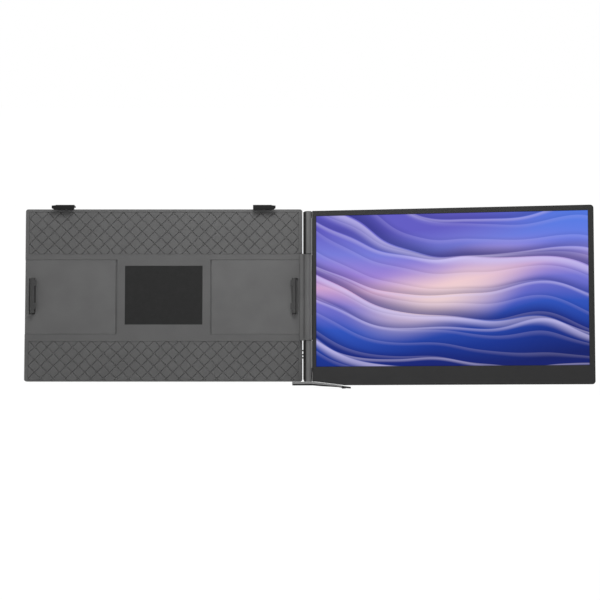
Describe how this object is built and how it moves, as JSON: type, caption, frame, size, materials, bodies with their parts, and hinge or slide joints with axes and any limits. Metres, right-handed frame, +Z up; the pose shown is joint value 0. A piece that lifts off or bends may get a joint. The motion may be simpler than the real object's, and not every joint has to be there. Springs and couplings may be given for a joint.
{
  "type": "laptop screen extender",
  "caption": "Side screen for a laptop: a bracket clamps on the back of the lid with sliding jaws and top hooks, and a hinged display swings out at its right edge on a small leg.",
  "frame": {"origin": "Middle of the lid seat: the centre of the soft pad's face, flush with the bracket's front face.", "axes": "+X runs right along the bracket towards the screen, +Y away from the user, +Z up. The bracket leans back 12 degrees, as an open laptop lid does."},
  "size_m": [0.7218, 0.1387, 0.2356],
  "materials": {
    "panel_grey": "fine satin",
    "cover_grey": "fine satin",
    "grip_grey": "satin with grooves",
    "pad_black": "matt",
    "arm_grey": "dark anodised, bead blasted",
    "jaw_dark": "satin",
    "hook_black": "satin",
    "steel": "plain",
    "bronze": "plain",
    "barrel_grey": "dark anodised",
    "cap_dark": "satin",
    "bezel_black": "fine matt",
    "shell_dark": "fine satin",
    "lcd_glass": "anti-glare",
    "backlight_white": "satin",
    "board_green": "lacquered",
    "port_steel": "plain",
    "cable_amber": "satin",
    "screw_black": "blackened",
    "washer_black": "satin",
    "key_black": "satin",
    "foot_rubber": "matt"
  },
  "bodies": {
    "bracket": {"front_panel": "panel_grey", "rear_cover": "cover_grey", "grip_upper": "grip_grey", "grip_lower": "grip_grey", "lid_pad": "pad_black", "upper_rail": "steel", "lower_rail": "steel", "cover_screws": "screw_black", "spring_anchor": "steel", "left_hook_guide": "steel", "right_hook_guide": "steel", "left_arm_spring": "steel", "right_arm_spring": "steel", "left_hook_spring": "steel", "right_hook_spring": "steel"},
    "left_arm": {"left_arm": "arm_grey", "left_jaw": "jaw_dark", "left_jaw_liner": "pad_black", "left_jaw_screws": "steel"},
    "right_arm": {"right_arm": "arm_grey", "right_jaw": "jaw_dark", "right_jaw_liner": "pad_black", "right_jaw_screws": "steel", "knuckle_bushes": "bronze"},
    "left_hook": {"left_hook": "hook_black", "left_hook_pad": "pad_black"},
    "right_hook": {"right_hook": "hook_black", "right_hook_pad": "pad_black"},
    "screen": {"upper_barrel": "barrel_grey", "lower_barrel": "barrel_grey", "barrel_cap": "cap_dark", "upper_pin": "steel", "lower_pin": "steel", "hinge_washers": "washer_black", "screen_bezel": "bezel_black", "screen_shell": "shell_dark", "display_panel": "lcd_glass", "backlight_unit": "backlight_white", "driver_board": "board_green", "usb_ports": "port_steel", "hdmi_port": "port_steel", "panel_cable": "cable_amber", "key_board": "board_green", "barrel_screws": "screw_black", "chin_screws": "screw_black", "leg_washer": "steel", "leg_pin": "steel"},
    "power_key": {"power_key": "key_black"},
    "plus_key": {"plus_key": "key_black"},
    "minus_key": {"minus_key": "key_black"},
    "leg": {"leg": "arm_grey", "leg_strip": "foot_rubber", "leg_foot": "foot_rubber"}
  },
  "joints": [
    {"name": "left_arm_slide", "type": "slide", "parent": "bracket", "child": "left_arm", "axis": [-1, 0, 0], "range_m": [0, 0.035], "stiffness_N_per_m": 80, "springref_m": -0.05, "deforming": ["left_arm_spring"]},
    {"name": "right_arm_slide", "type": "slide", "parent": "bracket", "child": "right_arm", "axis": [1, 0, 0], "range_m": [0, 0.035], "stiffness_N_per_m": 80, "springref_m": -0.05, "deforming": ["right_arm_spring"]},
    {"name": "left_hook_slide", "type": "slide", "parent": "bracket", "child": "left_hook", "axis": [0, 0.2079, 0.9781], "range_m": [0, 0.025], "stiffness_N_per_m": 60, "springref_m": -0.03, "deforming": ["left_hook_spring"]},
    {"name": "right_hook_slide", "type": "slide", "parent": "bracket", "child": "right_hook", "axis": [0, 0.2079, 0.9781], "range_m": [0, 0.025], "stiffness_N_per_m": 60, "springref_m": -0.03, "deforming": ["right_hook_spring"]},
    {"name": "screen_hinge", "type": "hinge", "parent": "right_arm", "child": "screen", "pos_m": [0.186, -0.01232, 0.00262], "axis": [0, 0.2079, 0.9781], "range_deg": [-169.5, 65]},
    {"name": "power_key_press", "type": "slide", "parent": "screen", "child": "power_key", "axis": [0.9836, -0.1766, 0.0375], "range_m": [0, 0.00045], "stiffness_N_per_m": 1000, "springref_m": -0.0003},
    {"name": "plus_key_press", "type": "slide", "parent": "screen", "child": "plus_key", "axis": [0.9836, -0.1766, 0.0375], "range_m": [0, 0.00045], "stiffness_N_per_m": 1000, "springref_m": -0.0003},
    {"name": "minus_key_press", "type": "slide", "parent": "screen", "child": "minus_key", "axis": [0.9836, -0.1766, 0.0375], "range_m": [0, 0.00045], "stiffness_N_per_m": 1000, "springref_m": -0.0003},
    {"name": "leg_swivel", "type": "hinge", "parent": "screen", "child": "leg", "pos_m": [0.186, -0.03586, -0.10811], "axis": [0, 0.2079, 0.9781], "range_deg": [-90, 90]}
  ]
}
